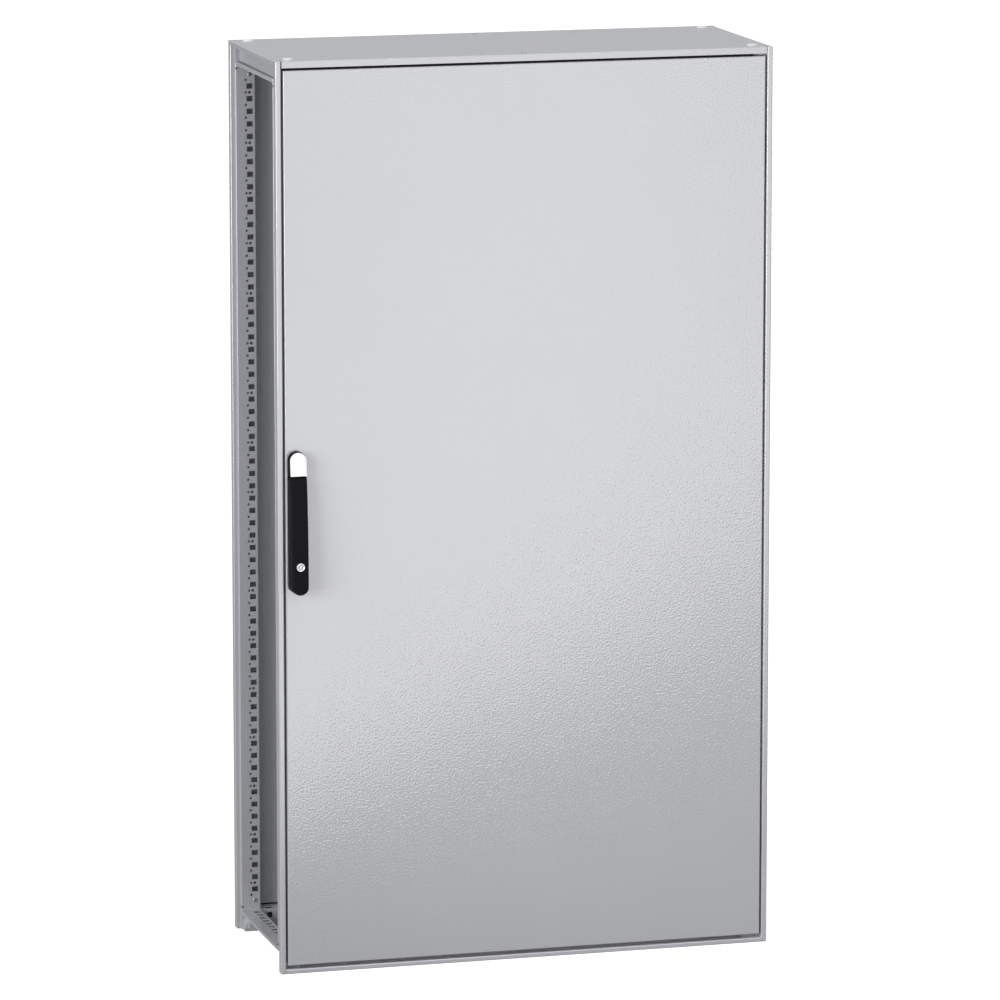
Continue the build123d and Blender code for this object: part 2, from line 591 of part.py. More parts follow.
# The lock housing stands fixed at the lower end of the handle.
housing_side = side_profile([(PLATE_T, HANDLE_LOW + 1), (30, HANDLE_LOW + 1), (36, 775),
                             (36, 800), (35, HOUSING_HIGH), (PLATE_T, HOUSING_HIGH)])
housing = forward(outline(half_handle - 1, HANDLE_TOP - 1, HANDLE_LOW + 1), PLATE_T, 40)
housing = housing & housing_side
lock_bore = turned(handle_at, front_at - 40, LOCK_Z, LOCK_R + RUNNING, 30, "y")
cam_room = turned(handle_at, front_at - 10.5, LOCK_Z, 14.5, 7.5, "y")
housing = housing - lock_bore - cam_room
save("lock_housing", housing)

barrel_front = 35.0
barrel = turned(handle_at, front_at - barrel_front, LOCK_Z, LOCK_R, 24.5, "y")
barrel -= turned(handle_at, front_at - barrel_front - 1, LOCK_Z, LOCK_R - 2.0, 30, "y")
save("lock_barrel", barrel)
plug_r = LOCK_R - 2.0 - RUNNING
plug = turned(handle_at, front_at - barrel_front + 0.5, LOCK_Z, plug_r, 26.0, "y")
keyway = block((handle_at - 0.9, handle_at + 0.9), (front_at - 36, front_at - 29),
               (LOCK_Z - 4.5, LOCK_Z + 3.5))
save("lock_plug", plug - keyway)
cam = block((handle_at - 3, handle_at + 3), (front_at - 8.5, front_at - 6),
            (LOCK_Z - 4, LOCK_Z + 12.5))
save("lock_cam", cam)

# The hub turns on the door. It carries the spindle, the cap and the lever's pin.
hub = turned(handle_at, front_at - HUB_BACK - HUB_T, TURN_Z, half_handle - 1.5, HUB_T, "y")
hub_low = LEVER_PIVOT_Z - 6.5
hub += block((handle_at - 10, handle_at + 10),
             (front_at - HUB_BACK - HUB_T, front_at - HUB_BACK), (hub_low, TURN_Z))
EAR_HALF = 6.0
EAR_R = 5.0
pivot_y = front_at - LEVER_PIVOT_OUT
ear = turned(handle_at - EAR_HALF, pivot_y, LEVER_PIVOT_Z, EAR_R, 2 * EAR_HALF, "x")
ear += block((handle_at - EAR_HALF, handle_at + EAR_HALF), (pivot_y, front_at - HUB_BACK),
             (LEVER_PIVOT_Z - EAR_R, LEVER_PIVOT_Z + EAR_R))
hub += ear
LEVER_PIN_R = 2.0
hub -= turned(handle_at - 20, pivot_y, LEVER_PIVOT_Z, LEVER_PIN_R, 40, "x")
save("handle_hub", hub)
lever_pin = turned(handle_at - 14, pivot_y, LEVER_PIVOT_Z, LEVER_PIN_R, 28, "x")
save("lever_pin", lever_pin)

cap_side = side_profile([(HUB_BACK + HUB_T, CAP_LOW), (23, CAP_LOW), (21, 1020), (18, 1036),
                         (14, HANDLE_TOP), (HUB_BACK + HUB_T, HANDLE_TOP)])
cap = forward(outline(half_handle - 0.5, HANDLE_TOP - 0.5, HANDLE_LOW), HUB_BACK + HUB_T, 30) & cap_side
save("handle_cap", cap)

CRANK_V = 5.5
SPINDLE_TIP_R = 2.5
spindle = turned(handle_at, front_at - HUB_BACK, TURN_Z, SPINDLE_R, HUB_BACK + CRANK_V, "y")
spindle += turned(handle_at, front_at + CRANK_V - 1, TURN_Z, SPINDLE_TIP_R, 4.5, "y")
crank_angle = math.radians(135)
crank_x = handle_at + CRANK_R * math.cos(crank_angle)
crank_z = TURN_Z + CRANK_R * math.sin(crank_angle)
crank_y = front_at + CRANK_V
arm = Box(CRANK_R, 3.0, 7.0, align=(Align.MIN, Align.MIN, Align.CENTER))
crank = Pos(handle_at, crank_y, TURN_Z) * Rot(0, -135, 0) * arm
crank += turned(handle_at, crank_y, TURN_Z, 3.9, 3.0, "y")
crank += turned(crank_x, crank_y, crank_z, 3.5, 3.0, "y")
crank += turned(crank_x, crank_y, crank_z, CRANK_PIN_R, 9.0, "y")
save("spindle", spindle)
save("crank", crank - spindle)

lever_side = side_profile([
    (LEVER_BACK, LEVER_LOW), (LEVER_BACK, 975.0), (LEVER_PIVOT_OUT - LEVER_END_R, 978.0),
    (LEVER_PIVOT_OUT - LEVER_END_R, LEVER_PIVOT_Z), (LEVER_PIVOT_OUT + LEVER_END_R, LEVER_PIVOT_Z),
    (30.0, 925.0), (34.0, 880.0), (35.0, LEVER_LOW)])
lever_side += turned(handle_at - 30, pivot_y, LEVER_PIVOT_Z, LEVER_END_R, 60, "x")
lever_width = half_handle - 0.5
lever = lever_side & block((handle_at - lever_width, handle_at + lever_width),
                           (front_at - 60, front_at), (LEVER_LOW, CAP_LOW))
pocket = block((handle_at - lever_width + 3, handle_at + lever_width - 3),
               (front_at - 18, front_at), (LEVER_LOW + 12, 968.0))
ear_slot = turned(handle_at - EAR_HALF - 0.4, pivot_y, LEVER_PIVOT_Z, EAR_R + 0.5,
                  2 * EAR_HALF + 0.8, "x")
ear_slot += block((handle_at - EAR_HALF - 0.4, handle_at + EAR_HALF + 0.4), (pivot_y, front_at),
                  (LEVER_PIVOT_Z - 6.5, LEVER_PIVOT_Z + 9))
ear_slot += block((handle_at - EAR_HALF - 0.4, handle_at + EAR_HALF + 0.4),
                  (pivot_y - 3.4, pivot_y + 1), (LEVER_PIVOT_Z + 1, LEVER_PIVOT_Z + 9))
pin_bore = turned(handle_at - 14.3, pivot_y, LEVER_PIVOT_Z, LEVER_PIN_R + RUNNING, 28.6, "x")
save("handle_lever", lever - pocket - ear_slot - pin_bore)

# ---- lock gear behind the door's left edge -------------------------------------------
case = door_block(*LOCK_CASE)
case -= turned(handle_at, front_at, TURN_Z, SPINDLE_R + RUNNING, 6, "y")
save("lock_case", case)

bar_x = (BAR_LEFT, BAR_RIGHT)
bar_v = (BAR_V, BAR_V + BAR_T)
travel = 2 * CRANK_R * math.sin(math.radians(45))
bar = door_block(bar_x, bar_v, (BAR_LOW, BAR_HIGH))
slot_x = (HANDLE_X - CRANK_R - CRANK_PIN_R - 0.6,
          HANDLE_X - CRANK_R * math.cos(math.radians(45)) + CRANK_PIN_R + 0.6)
slot_half = CRANK_PIN_R + 0.6
bar -= door_block(slot_x, (BAR_V - 1, BAR_V + BAR_T + 1),
                  (crank_z - slot_half, crank_z + slot_half))
save("locking_bar", bar)
STUD_R = 3.5
STUD_X = 28.0
studs = []
keepers = []
for z in KEEPER_HEIGHTS:
    studs.append(turned(STUD_X - HALF_W, front_at + BAR_V + BAR_T, z, STUD_R, 5.0, "y"))
    shelf_low = z + STUD_R + 0.5
    keeper = door_block((23.0, 38.0), (TUBE_IN - 1.2, TUBE_IN), (z - 10, shelf_low + 10))
    keeper += door_block((23.0, 36.0), (14.5, TUBE_IN), (shelf_low, shelf_low + 3))
    keepers.append(keeper)
save("locking_studs", studs)
save("keepers", keepers)

guides = []
for z in GUIDE_HEIGHTS:
    guide = door_block((18.0, 39.5), (DOOR_SHEET, BAR_V + BAR_T + 2), (z - 8, z + 8))
    guide -= door_block((BAR_LEFT - 0.3, BAR_RIGHT + 0.3), (BAR_V - 0.3, BAR_V + BAR_T + 0.3),
                        (z - 9, z + 9))
    guides.append(guide)
save("bar_guides", guides)
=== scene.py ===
import json
import math

import bmesh
import bpy
from mathutils import Matrix, Vector


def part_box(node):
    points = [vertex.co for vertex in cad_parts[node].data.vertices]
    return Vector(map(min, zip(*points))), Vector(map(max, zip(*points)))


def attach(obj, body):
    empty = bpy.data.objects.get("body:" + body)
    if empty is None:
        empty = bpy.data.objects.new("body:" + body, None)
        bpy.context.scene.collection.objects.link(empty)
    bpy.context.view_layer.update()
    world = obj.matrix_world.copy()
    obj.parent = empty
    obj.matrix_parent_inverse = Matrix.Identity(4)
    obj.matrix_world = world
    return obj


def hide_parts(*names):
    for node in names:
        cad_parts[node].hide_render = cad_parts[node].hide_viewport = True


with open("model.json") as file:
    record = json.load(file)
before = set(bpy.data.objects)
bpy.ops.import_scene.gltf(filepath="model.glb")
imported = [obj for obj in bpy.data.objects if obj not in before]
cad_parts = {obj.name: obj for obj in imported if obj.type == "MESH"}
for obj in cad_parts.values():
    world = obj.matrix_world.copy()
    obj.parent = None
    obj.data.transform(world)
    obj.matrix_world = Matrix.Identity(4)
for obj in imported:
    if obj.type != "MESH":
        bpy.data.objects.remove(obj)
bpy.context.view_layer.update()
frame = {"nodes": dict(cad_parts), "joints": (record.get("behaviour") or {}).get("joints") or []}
nodes = frame["nodes"]
joints = {joint["name"]: joint for joint in frame["joints"]}
scene = bpy.context.scene

# ---- Camera --------------------------------------------------------------------------
# The cabinet is seen from the front, from a little to the left and above, with a long
# lens that keeps its posts almost upright.
VIEW_FROM = Vector((-3.3573, -12.1737, 3.1916))
VIEW_TURN = 0.2692
VIEW_TILT = 0.1804
LENS = 232.38
SENSOR_WIDTH = 36.0
VIEW_REACH = 100.0

camera_data = bpy.data.cameras.new("camera")
camera_data.lens = LENS
camera_data.sensor_width = SENSOR_WIDTH
camera_data.clip_end = VIEW_REACH
camera = bpy.data.objects.new("camera", camera_data)
camera.location = VIEW_FROM
camera.rotation_euler = (math.pi / 2 - VIEW_TILT, 0.0, -VIEW_TURN)
scene.collection.objects.link(camera)
scene.camera = camera
scene.view_settings.view_transform = "Standard"


# ---- Studio --------------------------------------------------------------------------
# A pale floor, an even grey surround, and soft lights: one long light that stands low in
# front and gives the door its bright upper half, a strong one far out to the left, and
# weaker ones above and behind. The floor and the surround look white when seen directly.
SURROUND = 0.54
FRONT_LIGHT = 1.18
LEFT_LIGHT = 7.0
BACK_LIGHT = 5.0
TOP_LIGHT = 1.55
SURROUND_COLOUR = (0.98, 0.985, 1.0, 1.0)
BACKDROP_COLOUR = (1.0, 1.0, 1.0, 1.0)
FLOOR_COLOUR = (0.25, 0.25, 0.254, 1.0)
FLOOR_REACH = 40.0
LIGHTS_AIM = (0, 0, 0.9)


def node_tree(name):
    """An empty material and its nodes and links."""
    material = bpy.data.materials.new(name)
    material.use_nodes = True
    tree = material.node_tree
    tree.nodes.clear()
    return material, tree


def soft_light(name, at, towards, width, height, radiance):
    """A rectangular light whose face has an even radiance, and that isn't seen itself."""
    data = bpy.data.lights.new(name, "AREA")
    data.shape = "RECTANGLE"
    data.size = width
    data.size_y = height
    data.energy = radiance * math.pi * width * height
    light = bpy.data.objects.new(name, data)
    light.location = at
    light.rotation_euler = (Vector(towards) - Vector(at)).to_track_quat("-Z", "Y").to_euler()
    light.visible_camera = False
    scene.collection.objects.link(light)


world = bpy.data.worlds.new("studio")
scene.world = world
world.use_nodes = True
background = world.node_tree.nodes["Background"]
background.inputs["Color"].default_value = SURROUND_COLOUR
background.inputs["Strength"].default_value = SURROUND
backdrop = world.node_tree.nodes.new("ShaderNodeBackground")
backdrop.inputs["Color"].default_value = BACKDROP_COLOUR
backdrop.inputs["Strength"].default_value = 1.0
seen_rays = world.node_tree.nodes.new("ShaderNodeLightPath")
either = world.node_tree.nodes.new("ShaderNodeMixShader")
world_out = world.node_tree.nodes["World Output"]
world.node_tree.links.new(seen_rays.outputs["Is Camera Ray"], either.inputs[0])
world.node_tree.links.new(background.outputs[0], either.inputs[1])
world.node_tree.links.new(backdrop.outputs[0], either.inputs[2])
world.node_tree.links.new(either.outputs[0], world_out.inputs["Surface"])

near_left = Vector((-0.52, -1.14, 0.0))
far_right = Vector((2.6, -4.95, 0.0))
FRONT_HEIGHT = 2.1
across = (far_right - near_left).normalized()
front_centre = (near_left + far_right) / 2 + Vector((0, 0, FRONT_HEIGHT / 2))
soft_light("front_light", front_centre, front_centre + Vector((-across.y, across.x, 0)),
           (far_right - near_left).length, FRONT_HEIGHT, FRONT_LIGHT)
soft_light("left_light", (-5.0, -3.0, 1.6), LIGHTS_AIM, 3.5, 3.0, LEFT_LIGHT)
soft_light("back_light", (5.0, 4.0, 1.8), LIGHTS_AIM, 3.0, 2.5, BACK_LIGHT)
soft_light("top_light", (0.0, -0.3, 5.0), (0, 0, 0), 3.0, 3.0, TOP_LIGHT)

floor_mesh = bmesh.new()
bmesh.ops.create_grid(floor_mesh, x_segments=8, y_segments=8, size=FLOOR_REACH)
floor_data = bpy.data.meshes.new("floor")
floor_mesh.to_mesh(floor_data)
floor_mesh.free()
floor = bpy.data.objects.new("floor", floor_data)
scene.collection.objects.link(floor)
floor_finish, tree = node_tree("floor_finish")
output = tree.nodes.new("ShaderNodeOutputMaterial")
diffuse = tree.nodes.new("ShaderNodeBsdfDiffuse")
diffuse.inputs["Color"].default_value = FLOOR_COLOUR
glow = tree.nodes.new("ShaderNodeEmission")
glow.inputs["Color"].default_value = BACKDROP_COLOUR
glow.inputs["Strength"].default_value = 1.0
added = tree.nodes.new("ShaderNodeAddShader")
pick = tree.nodes.new("ShaderNodeMixShader")
rays = tree.nodes.new("ShaderNodeLightPath")
tree.links.new(diffuse.outputs[0], added.inputs[0])
tree.links.new(glow.outputs[0], added.inputs[1])
tree.links.new(rays.outputs["Is Camera Ray"], pick.inputs[0])
tree.links.new(diffuse.outputs[0], pick.inputs[1])
tree.links.new(added.outputs[0], pick.inputs[2])
tree.links.new(pick.outputs[0], output.inputs["Surface"])
floor_data.materials.append(floor_finish)


# ---- Posts, corner pieces and rails --------------------------------------------------
# The frame is folded from sheet steel and powder coated light grey. Four punched posts
# stand between cast corner pieces, joined by folded rails at the top and bottom.
PAINT_COLOUR = (0.470, 0.475, 0.499, 1.0)
PAINT_SHADE = 0.95
PAINT_IOR = 1.95
PEEL_SCALE = 265.0
SATIN_SMOOTHEST = 0.20
SATIN_ROUGHEST = 0.26


def powder_group():
    """Orange peel of powder coat: fine pimples, and a faint slow change of tone."""
    group = bpy.data.node_groups.new("powder_coat_skin", "ShaderNodeTree")
    for socket, kind in (("Peel Scale", "NodeSocketFloat"), ("Peel Height", "NodeSocketFloat"),
                         ("Smoothest", "NodeSocketFloat"), ("Roughest", "NodeSocketFloat"),
                         ("Colour", "NodeSocketColor"), ("Shade", "NodeSocketColor")):
        group.interface.new_socket(socket, in_out="INPUT", socket_type=kind)
    for socket, kind in (("Colour", "NodeSocketColor"), ("Roughness", "NodeSocketFloat"),
                         ("Normal", "NodeSocketVector")):
        group.interface.new_socket(socket, in_out="OUTPUT", socket_type=kind)
    nodes_in = group.nodes
    links = group.links
    entry = nodes_in.new("NodeGroupInput")
    leave = nodes_in.new("NodeGroupOutput")
    place = nodes_in.new("ShaderNodeTexCoord")
    peel = nodes_in.new("ShaderNodeTexNoise")
    peel.inputs["Detail"].default_value = 0.0
    links.new(place.outputs["Object"], peel.inputs["Vector"])
    links.new(entry.outputs["Peel Scale"], peel.inputs["Scale"])
    bump = nodes_in.new("ShaderNodeBump")
    bump.inputs["Strength"].default_value = 1.0
    links.new(peel.outputs["Fac"], bump.inputs["Height"])
    links.new(entry.outputs["Peel Height"], bump.inputs["Distance"])
    slow = nodes_in.new("ShaderNodeTexNoise")
    slow.inputs["Scale"].default_value = 7.0
    slow.inputs["Detail"].default_value = 3.0
    links.new(place.outputs["Object"], slow.inputs["Vector"])
    tone = nodes_in.new("ShaderNodeMix")
    tone.data_type = "RGBA"
    links.new(slow.outputs["Fac"], tone.inputs["Factor"])
    links.new(entry.outputs["Shade"], tone.inputs["A"])
    links.new(entry.outputs["Colour"], tone.inputs["B"])
    rough = nodes_in.new("ShaderNodeMapRange")
    links.new(entry.outputs["Smoothest"], rough.inputs["To Min"])
    links.new(entry.outputs["Roughest"], rough.inputs["To Max"])
    links.new(peel.outputs["Fac"], rough.inputs["Value"])
    links.new(tone.outputs["Result"], leave.inputs["Colour"])
    links.new(rough.outputs["Result"], leave.inputs["Roughness"])
    links.new(bump.outputs["Normal"], leave.inputs["Normal"])
    return group


POWDER = powder_group()


def painted(name, height, smoothest, roughest, colour=PAINT_COLOUR):
    """Powder coat with its own grain height and gloss."""
    material, tree = node_tree(name)
    skin = tree.nodes.new("ShaderNodeGroup")
    skin.node_tree = POWDER
    skin.inputs["Peel Scale"].default_value = PEEL_SCALE
    skin.inputs["Peel Height"].default_value = height
    skin.inputs["Smoothest"].default_value = smoothest
    skin.inputs["Roughest"].default_value = roughest
    skin.inputs["Colour"].default_value = colour
    skin.inputs["Shade"].default_value = [PAINT_SHADE * part for part in colour[:3]] + [1.0]
    shader = tree.nodes.new("ShaderNodeBsdfPrincipled")
    shader.inputs["IOR"].default_value = PAINT_IOR
    shader.inputs["Specular IOR Level"].default_value = 1.0
    output = tree.nodes.new("ShaderNodeOutputMaterial")
    tree.links.new(skin.outputs["Colour"], shader.inputs["Base Color"])
    tree.links.new(skin.outputs["Roughness"], shader.inputs["Roughness"])
    tree.links.new(skin.outputs["Normal"], shader.inputs["Normal"])
    tree.links.new(shader.outputs[0], output.inputs["Surface"])
    return material


def finish_nodes(material, *names):
    """Give carried-over pieces their finish."""
    for name in names:
        nodes[name].data.materials.clear()
        nodes[name].data.materials.append(material)


frame_paint = painted("frame_paint", 0.00012, SATIN_SMOOTHEST, SATIN_ROUGHEST)
for place in ("front_left", "front_right", "rear_left", "rear_right"):
    finish_nodes(frame_paint, f"upright_{place}", f"top_corner_{place}", f"bottom_corner_{place}")
for side in ("front", "rear", "left", "right"):
    finish_nodes(frame_paint, f"top_rail_{side}", f"bottom_rail_{side}")

# ---- Small screws --------------------------------------------------------------------
# Zinc-plated pan-head screws with a six-lobed drive hold the posts to their corner pieces,
# the rear panel and the gland plates to the frame, and the roof at its centre.
ZINC_COLOUR = (0.60, 0.60, 0.59, 1.0)
ZINC_SHADE = (0.46, 0.46, 0.465, 1.0)
HEAD_STEPS = 48
DRIVE_LOBES = 6
POST_HEAD = 0.0015
REAR_HEAD = 0.0015
FLOOR_HEAD = 0.002
ROOF_HEAD = 0.0012


def metal_group():
    """Plated or cast metal: cloudy tone, and a fine tooth in the surface."""
    group = bpy.data.node_groups.new("metal_clouds", "ShaderNodeTree")
    for socket, kind in (("Cloud Scale", "NodeSocketFloat"), ("Tooth Height", "NodeSocketFloat"),
                         ("Smoothest", "NodeSocketFloat"), ("Roughest", "NodeSocketFloat"),
                         ("Colour", "NodeSocketColor"), ("Shade", "NodeSocketColor")):
        group.interface.new_socket(socket, in_out="INPUT", socket_type=kind)
    for socket, kind in (("Colour", "NodeSocketColor"), ("Roughness", "NodeSocketFloat"),
                         ("Normal", "NodeSocketVector")):
        group.interface.new_socket(socket, in_out="OUTPUT", socket_type=kind)
    links = group.links
    entry = group.nodes.new("NodeGroupInput")
    leave = group.nodes.new("NodeGroupOutput")
    place = group.nodes.new("ShaderNodeTexCoord")
    clouds = group.nodes.new("ShaderNodeTexNoise")
    clouds.inputs["Detail"].default_value = 4.0
    links.new(place.outputs["Object"], clouds.inputs["Vector"])
    links.new(entry.outputs["Cloud Scale"], clouds.inputs["Scale"])
    tooth = group.nodes.new("ShaderNodeTexNoise")
    tooth.inputs["Scale"].default_value = 2500.0
    links.new(place.outputs["Object"], tooth.inputs["Vector"])
    bump = group.nodes.new("ShaderNodeBump")
    links.new(tooth.outputs["Fac"], bump.inputs["Height"])
    links.new(entry.outputs["Tooth Height"], bump.inputs["Distance"])
    tone = group.nodes.new("ShaderNodeMix")
    tone.data_type = "RGBA"
    links.new(clouds.outputs["Fac"], tone.inputs["Factor"])
    links.new(entry.outputs["Shade"], tone.inputs["A"])
    links.new(entry.outputs["Colour"], tone.inputs["B"])
    rough = group.nodes.new("ShaderNodeMapRange")
    links.new(clouds.outputs["Fac"], rough.inputs["Value"])
    links.new(entry.outputs["Smoothest"], rough.inputs["To Min"])
    links.new(entry.outputs["Roughest"], rough.inputs["To Max"])
    links.new(tone.outputs["Result"], leave.inputs["Colour"])
    links.new(rough.outputs["Result"], leave.inputs["Roughness"])
    links.new(bump.outputs["Normal"], leave.inputs["Normal"])
    return group


METAL = metal_group()


def metallic(name, colour, shade, cloud_scale, tooth, smoothest, roughest):
    """Bare or plated metal."""
    material, tree = node_tree(name)
    skin = tree.nodes.new("ShaderNodeGroup")
    skin.node_tree = METAL
    skin.inputs["Cloud Scale"].default_value = cloud_scale
    skin.inputs["Tooth Height"].default_value = tooth
    skin.inputs["Smoothest"].default_value = smoothest
    skin.inputs["Roughest"].default_value = roughest
    skin.inputs["Colour"].default_value = colour
    skin.inputs["Shade"].default_value = shade
    shader = tree.nodes.new("ShaderNodeBsdfPrincipled")
    shader.inputs["Metallic"].default_value = 1.0
    output = tree.nodes.new("ShaderNodeOutputMaterial")
    for socket in ("Roughness", "Normal"):
        tree.links.new(skin.outputs[socket], shader.inputs[socket])
    tree.links.new(skin.outputs["Colour"], shader.inputs["Base Color"])
    tree.links.new(shader.outputs[0], output.inputs["Surface"])
    return material


zinc = metallic("zinc_plate", ZINC_COLOUR, ZINC_SHADE, 120.0, 0.00002, 0.28, 0.42)


def new_piece(name, mesh, material, sharp=35.0):
    """A finished mesh as an object, smooth except at its sharp edges."""
    bmesh.ops.recalc_face_normals(mesh, faces=mesh.faces)
    data = bpy.data.meshes.new(name)
    mesh.to_mesh(data)
    mesh.free()
    for face in data.polygons:
        face.use_smooth = True
    data.set_sharp_from_angle(angle=math.radians(sharp))
    data.materials.append(material)
    piece = bpy.data.objects.new(name, data)
    scene.collection.objects.link(piece)
    return piece


def lathe(mesh, outline, place, steps=HEAD_STEPS, lobes=None):
    """Turn an outline of (radius, height) pairs about +Z, then put it in its place.

    lobes gives, for each pair, how deep the six lobes of a drive cut into the circle.
    """
    rings = []
    for index, (radius, height) in enumerate(outline):
        depth = lobes[index] if lobes else 0.0
        ring = []
        for step in range(steps):
            angle = 2 * math.pi * step / steps
            r = radius - depth * (0.5 - 0.5 * math.cos(DRIVE_LOBES * angle))
            ring.append(mesh.verts.new(place @ Vector((r * math.cos(angle),
                                                       r * math.sin(angle), height))))
        rings.append(ring)
    for low, high in zip(rings, rings[1:]):
        for step in range(steps):
            after = (step + 1) % steps
            mesh.faces.new((low[step], low[after], high[after], high[step]))
    mesh.faces.new(list(reversed(rings[0])))
    mesh.faces.new(rings[-1])


def islands(name):
    """The boxes of the separate solids in one carried-over piece, as (low, high) corners."""
    mesh = bmesh.new()
    mesh.from_mesh(nodes[name].data)
    bmesh.ops.remove_doubles(mesh, verts=mesh.verts, dist=1e-6)
    boxes = []
    seen = set()
    for start in mesh.verts:
        if start in seen:
            continue
        seen.add(start)
        group, queue = [], [start]
        while queue:
            vert = queue.pop()
            group.append(vert.co)
            for edge in vert.link_edges:
                other = edge.other_vert(vert)
                if other not in seen:
                    seen.add(other)
                    queue.append(other)
        low = Vector([min(co[i] for co in group) for i in range(3)])
        high = Vector([max(co[i] for co in group) for i in range(3)])
        boxes.append((low, high))
    mesh.free()
    return boxes


def facing(axis, at):
    """A place whose +Z points along an axis."""
    turn = Vector((0, 0, 1)).rotation_difference(Vector(axis)).to_matrix().to_4x4()
    return Matrix.Translation(at) @ turn


def screw_outline(radius, height, shank_radius, shank):
    """Half section of a pan-head screw, from the tip up over the head into the drive."""
    drive = radius * 0.52
    return [(shank_radius * 0.7, -shank), (shank_radius, -shank + 0.0008), (shank_radius, 0.0),
            (radius * 0.97, 0.0), (radius, height * 0.2), (radius * 0.985, height * 0.55),
            (radius * 0.9, height * 0.86), (radius * 0.75, height), (drive, height),
            (drive * 0.94, height * 0.9), (drive * 0.9, height * 0.25)]


def screws(name, radius, height, shank_radius, shank, direction):
    """All screws of one kind, on the heads' seats, facing the way that direction gives."""
    mesh = bmesh.new()
    outline = screw_outline(radius, height, shank_radius, shank)
    lobes = [0.0] * 8 + [radius * 0.12] * 3
    for low, high in islands(name):
        seat, axis = direction(low, high)
        lathe(mesh, outline, facing(axis, seat), lobes=lobes)
    piece = new_piece(name + "_turned", mesh, zinc)
    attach(piece, "frame")
    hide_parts(name)


def post_screw_seat(low, high):
    """Post screws face into the cabinet, along X or Y, whichever their head is thin in."""
    middle = (low + high) / 2
    flat = 0 if high.x - low.x < high.y - low.y else 1
    axis = Vector((0, 0, 0))
    axis[flat] = -1.0 if middle[flat] > 0 else 1.0
    seat = middle.copy()
    seat[flat] = low[flat] if axis[flat] > 0 else high[flat]
    return seat, axis


def rear_screw_seat(low, high):
    """Rear panel screws face backwards, their heads outermost."""
    middle = (low + high) / 2
    return Vector((middle.x, high.y - REAR_HEAD, middle.z)), Vector((0, 1, 0))


def floor_screw_seat(low, high):
    """Gland plate screws face up."""
    middle = (low + high) / 2
    return Vector((middle.x, middle.y, high.z - FLOOR_HEAD)), Vector((0, 0, 1))


def roof_screw_seat(low, high):
    """Roof screws face up, their heads on the roof sheet."""
    middle = (low + high) / 2
    return Vector((middle.x, middle.y, high.z - ROOF_HEAD)), Vector((0, 0, 1))


screws("post_screws", 0.004, POST_HEAD, 0.002, 0.001, post_screw_seat)
screws("rear_panel_screws", 0.0055, REAR_HEAD, 0.0024, 0.019, rear_screw_seat)
screws("gland_plate_screws", 0.005, FLOOR_HEAD, 0.00245, 0.002, floor_screw_seat)
screws("roof_centre_screws", 0.0055, ROOF_HEAD, 0.0024, 0.004, roof_screw_seat)

# ---- Roof and rear panel -------------------------------------------------------------
# Folded sheet-steel covers in the same powder coat. The roof lies on a foam seal, and four
# pale plastic plugs close the threads for lifting eyes. The rear panel is screwed on.
# The rear panel has the same coat as the frame, but its colour is lighter: painted light on its
# inner face, which is seen in shade through the open side.
REAR_PAINTED_LIGHT_COLOUR = (0.535, 0.545, 0.545, 1.0)
PLUG_COLOUR = (0.86, 0.87, 0.87, 1.0)
PLUG_SHADE = (0.80, 0.81, 0.815, 1.0)
COVER_PEEL = 0.00015
PLUG_CROWN = 0.0025
PLUG_STEPS = 64

roof_paint = painted("roof_paint", COVER_PEEL, SATIN_SMOOTHEST, SATIN_ROUGHEST)
finish_nodes(roof_paint, "roof_panel")
rear_paint_with_painted_light = painted("rear_paint_with_painted_light", COVER_PEEL, SATIN_SMOOTHEST, SATIN_ROUGHEST,
                     colour=REAR_PAINTED_LIGHT_COLOUR)
finish_nodes(rear_paint_with_painted_light, "rear_panel")


def plastic_group():
    """Moulded plastic: a fine spark-eroded grain and a faint tone change."""
    group = bpy.data.node_groups.new("moulded_grain", "ShaderNodeTree")
    for socket, kind in (("Grain Scale", "NodeSocketFloat"), ("Grain Height", "NodeSocketFloat"),
                         ("Smoothest", "NodeSocketFloat"), ("Roughest", "NodeSocketFloat"),
                         ("Colour", "NodeSocketColor"), ("Shade", "NodeSocketColor")):
        group.interface.new_socket(socket, in_out="INPUT", socket_type=kind)
    for socket, kind in (("Colour", "NodeSocketColor"), ("Roughness", "NodeSocketFloat"),
                         ("Normal", "NodeSocketVector")):
        group.interface.new_socket(socket, in_out="OUTPUT", socket_type=kind)
    links = group.links
    entry = group.nodes.new("NodeGroupInput")
    leave = group.nodes.new("NodeGroupOutput")
    place = group.nodes.new("ShaderNodeTexCoord")
    grain = group.nodes.new("ShaderNodeTexVoronoi")
    links.new(place.outputs["Object"], grain.inputs["Vector"])
    links.new(entry.outputs["Grain Scale"], grain.inputs["Scale"])
    bump = group.nodes.new("ShaderNodeBump")
    links.new(grain.outputs["Distance"], bump.inputs["Height"])
    links.new(entry.outputs["Grain Height"], bump.inputs["Distance"])
    slow = group.nodes.new("ShaderNodeTexNoise")
    slow.inputs["Scale"].default_value = 35.0
    slow.inputs["Detail"].default_value = 3.0
    links.new(place.outputs["Object"], slow.inputs["Vector"])
    tone = group.nodes.new("ShaderNodeMix")
    tone.data_type = "RGBA"
    links.new(slow.outputs["Fac"], tone.inputs["Factor"])
    links.new(entry.outputs["Shade"], tone.inputs["A"])
    links.new(entry.outputs["Colour"], tone.inputs["B"])
    rough = group.nodes.new("ShaderNodeMapRange")
    links.new(slow.outputs["Fac"], rough.inputs["Value"])
    links.new(entry.outputs["Smoothest"], rough.inputs["To Min"])
    links.new(entry.outputs["Roughest"], rough.inputs["To Max"])
    links.new(tone.outputs["Result"], leave.inputs["Colour"])
    links.new(rough.outputs["Result"], leave.inputs["Roughness"])
    links.new(bump.outputs["Normal"], leave.inputs["Normal"])
    return group


MOULDED = plastic_group()


